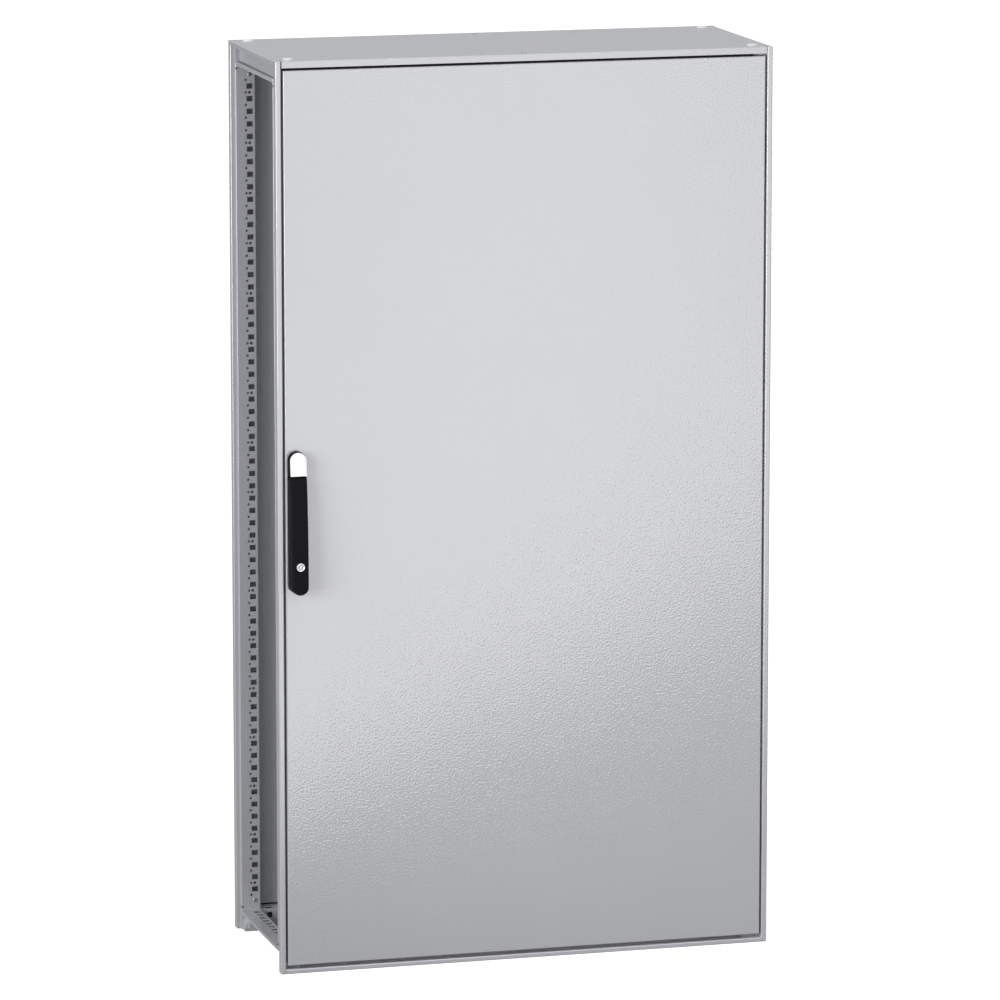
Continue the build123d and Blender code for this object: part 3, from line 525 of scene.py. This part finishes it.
def moulded(name, colour, shade, grain_scale, grain_height, smoothest, roughest, specular):
    """Moulded plastic or foam in one colour."""
    material, tree = node_tree(name)
    skin = tree.nodes.new("ShaderNodeGroup")
    skin.node_tree = MOULDED
    skin.inputs["Grain Scale"].default_value = grain_scale
    skin.inputs["Grain Height"].default_value = grain_height
    skin.inputs["Smoothest"].default_value = smoothest
    skin.inputs["Roughest"].default_value = roughest
    skin.inputs["Colour"].default_value = colour
    skin.inputs["Shade"].default_value = shade
    shader = tree.nodes.new("ShaderNodeBsdfPrincipled")
    shader.inputs["Specular IOR Level"].default_value = specular
    output = tree.nodes.new("ShaderNodeOutputMaterial")
    for socket in ("Roughness", "Normal"):
        tree.links.new(skin.outputs[socket], shader.inputs[socket])
    tree.links.new(skin.outputs["Colour"], shader.inputs["Base Color"])
    tree.links.new(shader.outputs[0], output.inputs["Surface"])
    return material


pale_plastic = moulded("pale_plastic", PLUG_COLOUR, PLUG_SHADE, 1500.0, 0.00002, 0.3, 0.4, 0.5)
plugs = bmesh.new()
for low, high in islands("roof_corner_plugs"):
    radius = (high.x - low.x) / 2
    sheet_top = high.z - PLUG_CROWN
    crown = high.z - sheet_top
    seat = Vector(((low.x + high.x) / 2, (low.y + high.y) / 2, sheet_top))
    outline = [(radius * 0.5, low.z - sheet_top), (radius * 0.56, low.z - sheet_top + 0.0015),
               (radius * 0.56, 0.0), (radius * 0.985, 0.0), (radius, crown * 0.2),
               (radius * 0.99, crown * 0.5), (radius * 0.94, crown * 0.8),
               (radius * 0.86, crown * 0.95), (radius * 0.7, crown), (radius * 0.34, crown),
               (radius * 0.30, crown * 0.92), (radius * 0.27, crown * 0.5)]
    lathe(plugs, outline, facing((0, 0, 1), seat), steps=PLUG_STEPS)
plugs = new_piece("roof_plugs", plugs, pale_plastic)
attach(plugs, "frame")
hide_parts("roof_corner_plugs")

# ---- Foam seals ----------------------------------------------------------------------
# Poured polyurethane foam, black, with a soft skin: a rounded bead on the door and on the
# rear panel that presses on the frame's lips, and a flat band under the roof.
FOAM_COLOUR = (0.022, 0.022, 0.023, 1.0)
FOAM_SHADE = (0.014, 0.014, 0.015, 1.0)
BEAD_WIDTH = 0.0072
BEAD_CORNER = 0.012
BEAD_STEPS = 8

foam = moulded("foam_seal_skin", FOAM_COLOUR, FOAM_SHADE, 700.0, 0.00015, 0.75, 0.9, 0.25)
finish_nodes(foam, "roof_seal", "lip_blocks")


def bead(name, node, outwards, body):
    """A closed bead around a panel. It stands on the panel and bulges towards the frame."""
    low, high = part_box(node)
    thick = high.y - low.y
    back = low.y if outwards > 0 else high.y
    profile = [(0.0, 0.0), (0.0, 0.45), (0.12, 0.78), (0.3, 0.96), (0.5, 1.0), (0.7, 0.96),
               (0.88, 0.78), (1.0, 0.45), (1.0, 0.0)]
    mesh = bmesh.new()
    rings = []
    for cx, cz, start in ((high.x, high.z, 0), (low.x, high.z, 90), (low.x, low.z, 180),
                          (high.x, low.z, 270)):
        sx = -1 if cx == high.x else 1
        sz = -1 if cz == high.z else 1
        for step in range(BEAD_STEPS + 1):
            angle = math.radians(start + 90 * step / BEAD_STEPS)
            ring = []
            for inward, rise in profile:
                reach = BEAD_CORNER - inward * BEAD_WIDTH
                x = cx + sx * BEAD_CORNER + reach * math.cos(angle)
                z = cz + sz * BEAD_CORNER + reach * math.sin(angle)
                ring.append(mesh.verts.new((x, back + outwards * rise * thick, z)))
            rings.append(ring)
    for index, ring in enumerate(rings):
        after = rings[(index + 1) % len(rings)]
        count = len(profile)
        for point in range(count):
            follow = (point + 1) % count
            mesh.faces.new((ring[point], ring[follow], after[follow], after[point]))
    piece = new_piece(name, mesh, foam, sharp=60.0)
    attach(piece, body)
    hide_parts(node)


bead("door_bead", "door_seal", 1, "door")
bead("rear_bead", "rear_panel_seal", -1, "frame")

# A flat strip of black foam closes the view through the gap over the door: a dark sheet that
# paints shade into that gap. It ends short of the hinges, because the end of the opening door
# turns back past them.
STRIP_BACK = -0.1865
STRIP_FRONT = -0.1878
STRIP_LEFT = -0.4835
STRIP_RIGHT = 0.4635
STRIP_LOW = 1.7680
STRIP_HIGH = 1.7900
STRIP_BEVEL = 0.0010

strip = bmesh.new()
strip_ends = []
for x in (STRIP_LEFT, STRIP_RIGHT):
    strip_ends.append([strip.verts.new((x, y, z)) for y, z in (
        (STRIP_BACK, STRIP_LOW), (STRIP_FRONT, STRIP_LOW + STRIP_BEVEL),
        (STRIP_FRONT, STRIP_HIGH - STRIP_BEVEL), (STRIP_BACK, STRIP_HIGH))])
for step in range(4):
    follow = (step + 1) % 4
    strip.faces.new((strip_ends[0][step], strip_ends[0][follow], strip_ends[1][follow],
                     strip_ends[1][step]))
strip.faces.new(strip_ends[0])
strip.faces.new(strip_ends[1])
strip = new_piece("top_gap_painted_shade_sheet", strip, foam)
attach(strip, "frame")

# ---- Gland plates --------------------------------------------------------------------
# Two loose zinc-plated plates close the floor between the bottom rails.
finish_nodes(zinc, "gland_plate_front", "gland_plate_rear")

# ---- Door ----------------------------------------------------------------------------
# One folded sheet, thicker and glossier than the rest, stiffened at the back by punched
# stiles and two crossbars.
DOOR_PEEL = 0.00029
DOOR_SMOOTHEST = 0.13
DOOR_ROUGHEST = 0.16

door_paint = painted("door_paint", DOOR_PEEL, DOOR_SMOOTHEST, DOOR_ROUGHEST)
finish_nodes(door_paint, "door_panel")
finish_nodes(frame_paint, "door_stile_left", "door_stile_right", "door_crossbar_top",
             "door_crossbar_bottom")

# ---- Hinges and locking gear ---------------------------------------------------------
# Zinc-plated steel: hidden hinges on the right, and on the left a flat bar that the crank
# behind the handle slides down from its keepers.
finish_nodes(zinc, "hinge_frame_leaves", "hinge_door_leaves", "hinge_pins", "keepers",
             "lock_case", "bar_guides", "locking_bar", "locking_studs", "spindle", "crank",
             "lever_pin", "lock_cam")

# ---- Swing handle --------------------------------------------------------------------
# A black moulded handle on a thin escutcheon: a lever hinged at its top end, a hub with a
# white face above it, and a fixed lock housing below it. Its front rises towards the lock.
BLACK_COLOUR = (0.0088, 0.0084, 0.0108, 1.0)
BLACK_SHADE = (0.0070, 0.0067, 0.0088, 1.0)
WHITE_COLOUR = (0.95, 0.95, 0.95, 1.0)
WHITE_SHADE = (0.93, 0.93, 0.93, 1.0)
SEAM = 0.0004
ROWS = 96
END_ROWS = 18
FRONT_FALL = 0.018
FRONT_CURVE = 2.2
LEVEL_END = 0.013
EDGE_ROUND = 0.0003
LEVER_END_R = 0.0075
GRIP_WALL = 0.0045
GRIP_BACK = 0.004
GRIP_DEPTH = 0.017
GRIP_ROUND = 0.003
GRIP_FROM_SEAM = 0.012
GRIP_FROM_PIVOT = 0.022
EAR_ROOM = (0.0128, 0.02, 0.016)
EAR_FRONT = 0.0055
EAR_RISE = 0.0015

black_plastic = moulded("black_plastic", BLACK_COLOUR, BLACK_SHADE, 1800.0, 0.00003, 0.40,
                        0.5, 0.06)
white_plastic = moulded("white_plastic", WHITE_COLOUR, WHITE_SHADE, 1800.0, 0.00001, 0.25,
                        0.32, 0.5)
finish_nodes(black_plastic, "handle_hub")

plate_low, plate_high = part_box("escutcheon")
door_face = plate_high.y
handle_x = (plate_low.x + plate_high.x) / 2
half_width = (plate_high.x - plate_low.x) / 2
handle_low = plate_low.z
handle_top = plate_high.z
housing_low, housing_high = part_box("lock_housing")
lever_low, lever_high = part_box("handle_lever")
cap_low, cap_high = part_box("handle_cap")
most_out = door_face - min(housing_low.y, lever_low.y)


def front_of(z):
    """How far the handle's front stands off the door at a height."""
    rise = max(0.0, (z - handle_low - LEVEL_END) / (handle_top - handle_low - LEVEL_END))
    return most_out - FRONT_FALL * rise ** FRONT_CURVE


def row_at(step, inset):
    """Height and half width of the handle's outline at one row, drawn in by an inset."""
    radius = half_width - inset
    low = handle_low + inset + radius
    high = handle_top - inset - radius
    if step <= END_ROWS:
        angle = math.pi / 2 * step / END_ROWS
        return low - radius * math.cos(angle), radius * math.sin(angle)
    if step >= ROWS - END_ROWS:
        angle = math.pi / 2 * (ROWS - step) / END_ROWS
        return high + radius * math.cos(angle), radius * math.sin(angle)
    share = (step - END_ROWS) / (ROWS - 2 * END_ROWS)
    return low + (high - low) * share, radius


def flat_back(out):
    """A back that stands off the door by the same distance at every height."""
    return lambda z: out


def handle_form(back_of, layers, lowered=0.0, columns=6):
    """The whole handle as one closed form, from its back to its front.

    layers is a list of (share of the way to the front, inset) pairs; the front may be
    lowered by an even depth.
    """
    mesh = bmesh.new()
    rings = []
    for share, inset in layers:
        left, right = [], []
        for step in range(ROWS + 1):
            z, half = row_at(step, inset)
            out = back_of(z) + share * (front_of(z) - lowered - back_of(z))
            left.append(mesh.verts.new((handle_x - half, door_face - out, z)))
            right.append(mesh.verts.new((handle_x + half, door_face - out, z)))
        rings.append((left, right))
    for (left, right), (next_left, next_right) in zip(rings, rings[1:]):
        for step in range(ROWS):
            mesh.faces.new((left[step], left[step + 1], next_left[step + 1], next_left[step]))
            mesh.faces.new((right[step], next_right[step], next_right[step + 1],
                            right[step + 1]))
    for left, right in (rings[0], rings[-1]):
        grid = [left]
        for column in range(1, columns):
            share = column / columns
            grid.append([mesh.verts.new(a.co.lerp(b.co, share)) for a, b in zip(left, right)])
        grid.append(right)
        for first, second in zip(grid, grid[1:]):
            for step in range(ROWS):
                mesh.faces.new((first[step], second[step], second[step + 1],
                                first[step + 1]))
    bmesh.ops.remove_doubles(mesh, verts=mesh.verts, dist=1e-6)
    bmesh.ops.dissolve_degenerate(mesh, edges=mesh.edges, dist=1e-6)
    bmesh.ops.recalc_face_normals(mesh, faces=mesh.faces)
    return mesh


def keep_above(mesh, z):
    """Cut a form off below a height and close the cut."""
    slice_at(mesh, (0, 0, z), (0, 0, -1))


def keep_below(mesh, z):
    """Cut a form off above a height and close the cut."""
    slice_at(mesh, (0, 0, z), (0, 0, 1))


def slice_at(mesh, at, outside):
    """Remove what lies on the outer side of a plane and fill the hole."""
    parts = mesh.verts[:] + mesh.edges[:] + mesh.faces[:]
    cut = bmesh.ops.bisect_plane(mesh, geom=parts, plane_co=at, plane_no=outside,
                                 clear_outer=True)
    rim = [item for item in cut["geom_cut"] if isinstance(item, bmesh.types.BMEdge)]
    bmesh.ops.holes_fill(mesh, edges=rim, sides=0)


def soften(piece, width, segments=3, angle=40.0):
    """Round a piece's sharp edges a little."""
    bevel = piece.modifiers.new("edge_round", "BEVEL")
    bevel.width = width
    bevel.segments = segments
    bevel.limit_method = "ANGLE"
    bevel.angle_limit = math.radians(angle)
    bevel.use_clamp_overlap = True


def cut_away(piece, mesh):
    """Take a closed mesh out of a piece for good."""
    tool_data = bpy.data.meshes.new("tool")
    bmesh.ops.recalc_face_normals(mesh, faces=mesh.faces)
    mesh.to_mesh(tool_data)
    mesh.free()
    tool = bpy.data.objects.new("tool", tool_data)
    scene.collection.objects.link(tool)
    cutter = piece.modifiers.new("cut", "BOOLEAN")
    cutter.object = tool
    cutter.operation = "DIFFERENCE"
    cutter.solver = "EXACT"
    bpy.context.view_layer.update()
    graph = bpy.context.evaluated_depsgraph_get()
    result = bpy.data.meshes.new_from_object(piece.evaluated_get(graph))
    piece.modifiers.remove(cutter)
    old = piece.data
    piece.data = result
    bpy.data.meshes.remove(old)
    bpy.data.objects.remove(tool)
    bpy.data.meshes.remove(tool_data)
    for face in piece.data.polygons:
        face.use_smooth = True
    piece.data.set_sharp_from_angle(angle=math.radians(35))


SIDE_LAYERS = [(0.0, 0.0), (0.12, 0.0001), (0.5, 0.0006), (0.86, 0.0011), (0.94, 0.0014),
               (0.985, 0.0020), (1.0, 0.0030)]
spindle_z = joints["handle_turn"]["pos_m"][2]
lock_z = joints["lock_turn"]["pos_m"][2]

escutcheon = bmesh.new()
rims = []
plate_thick = door_face - plate_low.y
for inset, out in ((0.0006, 0.0), (0.0, 0.0005), (0.0, plate_thick - 0.0007),
                   (0.0003, plate_thick - 0.0002), (0.0009, plate_thick)):
    ring = []
    for sign, steps in ((1, range(ROWS)), (-1, range(ROWS, 0, -1))):
        for step in steps:
            z, half = row_at(step, inset)
            ring.append(escutcheon.verts.new((handle_x + sign * half, door_face - out, z)))
    rims.append(ring)
for ring, after in zip(rims, rims[1:]):
    for step in range(len(ring)):
        follow = (step + 1) % len(ring)
        escutcheon.faces.new((ring[step], ring[follow], after[follow], after[step]))
escutcheon.faces.new(rims[0])
escutcheon.faces.new(rims[-1])
escutcheon = new_piece("handle_plate", escutcheon, black_plastic)
bore = bmesh.new()
spindle_at = (handle_x, door_face, spindle_z)
lathe(bore, [(0.0038, -0.01), (0.0038, 0.01)], facing((0, -1, 0), spindle_at))
cut_away(escutcheon, bore)
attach(escutcheon, "door")
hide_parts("escutcheon")

housing = handle_form(flat_back(plate_thick), SIDE_LAYERS)
seam_z = (housing_high.z + lever_low.z) / 2
keep_below(housing, seam_z - SEAM / 2)
housing = new_piece("lock_shell", housing, black_plastic)
lock_bore = bmesh.new()
lathe(lock_bore, [(0.0086, 0.006), (0.0086, 0.05)],
      facing((0, -1, 0), (handle_x, door_face, lock_z)))
cut_away(housing, lock_bore)
soften(housing, EDGE_ROUND)
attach(housing, "door")
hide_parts("lock_housing")

pivot = Vector(joints["lever_lift"]["pos_m"])
lever_back = door_face - lever_high.y
lever = handle_form(flat_back(lever_back), SIDE_LAYERS)
keep_above(lever, seam_z + SEAM / 2)
keep_below(lever, lever_high.z)
for vert in lever.verts:
    if vert.co.z > pivot.z:
        arm = Vector((vert.co.y - pivot.y, vert.co.z - pivot.z))
        if arm.length > LEVER_END_R:
            arm *= LEVER_END_R / arm.length
            vert.co.y = pivot.y + arm.x
            vert.co.z = pivot.z + arm.y
lever = new_piece("swing_lever", lever, black_plastic)
grip = bmesh.new()
bmesh.ops.create_cube(grip, size=1.0)
grip_low = lever_low.z + GRIP_FROM_SEAM
grip_high = pivot.z - GRIP_FROM_PIVOT
for vert in grip.verts:
    vert.co.x = handle_x + vert.co.x * 2 * (half_width - GRIP_WALL)
    vert.co.y = door_face - (GRIP_BACK + (0.5 - vert.co.y) * GRIP_DEPTH)
    vert.co.z = (grip_low + grip_high) / 2 + vert.co.z * (grip_high - grip_low)
bmesh.ops.bevel(grip, geom=grip.edges[:], offset=GRIP_ROUND, segments=4, affect="EDGES")
cut_away(lever, grip)
ear_room = bmesh.new()
bmesh.ops.create_cube(ear_room, size=1.0)
for vert in ear_room.verts:
    vert.co.x = handle_x + vert.co.x * EAR_ROOM[0]
    vert.co.y = pivot.y - EAR_FRONT + (vert.co.y + 0.5) * EAR_ROOM[1]
    vert.co.z = pivot.z + EAR_RISE + vert.co.z * EAR_ROOM[2]
cut_away(lever, ear_room)
soften(lever, EDGE_ROUND)
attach(lever, "lever")
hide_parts("handle_lever")

FACE_THICK = 0.0016
SHROUD_LAYERS = [(0.0, 0.0), (0.2, 0.0001), (0.8, 0.0004), (0.94, 0.0006), (1.0, 0.0012)]
FACE_LAYERS = [(0.0, 0.0009), (0.55, 0.0009), (0.85, 0.0012), (1.0, 0.0019)]
cap_back = door_face - cap_high.y
shroud = handle_form(flat_back(cap_back), SHROUD_LAYERS, lowered=FACE_THICK)
keep_above(shroud, cap_low.z + SEAM / 2)
face_form = handle_form(lambda z: front_of(z) - FACE_THICK, FACE_LAYERS)
keep_above(face_form, cap_low.z + SEAM / 2)
shroud = new_piece("hub_shroud", shroud, black_plastic)
soften(shroud, 0.0004)
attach(shroud, "handle")

cap_face = new_piece("hub_face", face_form, white_plastic)
soften(cap_face, 0.0005)
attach(cap_face, "handle")
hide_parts("handle_cap")

# ---- Lock ----------------------------------------------------------------------------
# A satin nickel barrel sits in the housing. Its plug turns and carries a double-bit pin in
# a round recess.
NICKEL_COLOUR = (0.92, 0.92, 0.93, 1.0)
NICKEL_SHADE = (0.84, 0.84, 0.85, 1.0)
nickel = metallic("satin_nickel", NICKEL_COLOUR, NICKEL_SHADE, 200.0, 0.00001, 0.18, 0.3)

barrel_low, barrel_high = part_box("lock_barrel")
lock_at = Vector((handle_x, barrel_low.y, lock_z))
outwards = facing((0, -1, 0), lock_at)
barrel_r = (barrel_high.x - barrel_low.x) / 2
plug_low, plug_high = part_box("lock_plug")
plug_r = (plug_high.x - plug_low.x) / 2
barrel_deep = barrel_high.y - barrel_low.y
ring = bmesh.new()
RING_STEPS = 64
outline = [(plug_r + 0.0001, -0.003), (plug_r + 0.0001, -0.0005), (plug_r + 0.0006, 0.0),
           (barrel_r - 0.0006, 0.0), (barrel_r, -0.0006), (barrel_r, -barrel_deep),
           (plug_r + 0.0001, -barrel_deep)]
rings = []
for radius, height in outline:
    circle = []
    for step in range(RING_STEPS):
        angle = 2 * math.pi * step / RING_STEPS
        circle.append(ring.verts.new(outwards @ Vector((radius * math.cos(angle),
                                                        radius * math.sin(angle), height))))
    rings.append(circle)
for index, circle in enumerate(rings):
    after = rings[(index + 1) % len(rings)]
    for step in range(RING_STEPS):
        follow = (step + 1) % RING_STEPS
        ring.faces.new((circle[step], circle[follow], after[follow], after[step]))
barrel = new_piece("lock_ring", ring, nickel)
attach(barrel, "door")
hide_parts("lock_barrel")

plug = bmesh.new()
plug_deep = plug_high.y - plug_low.y
PIN_R = 0.0024
EAR_TURN = math.radians(60)
lathe(plug, [(plug_r, -plug_deep), (plug_r, -0.0006), (plug_r - 0.0004, -0.0002),
             (plug_r - 0.0012, -0.0002), (plug_r - 0.0015, -0.0006),
             (plug_r - 0.0015, -0.0055), (PIN_R, -0.0030), (PIN_R, -0.0005),
             (PIN_R - 0.0004, -0.0001)], outwards, steps=48)
for side in (-1, 1):
    bit = bmesh.ops.create_cube(plug, size=1.0)["verts"]
    for vert in bit:
        ear = Vector((side * (PIN_R - 0.0003 + (vert.co.x + 0.5) * 0.0017), vert.co.y * 0.0018,
                      -0.0040 + (vert.co.z + 0.5) * 0.0033))
        vert.co = outwards @ Matrix.Rotation(EAR_TURN, 4, "Z") @ ear
plug = new_piece("lock_core", plug, nickel)
soften(plug, 0.0002, segments=2)
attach(plug, "lock_plug")
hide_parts("lock_plug")
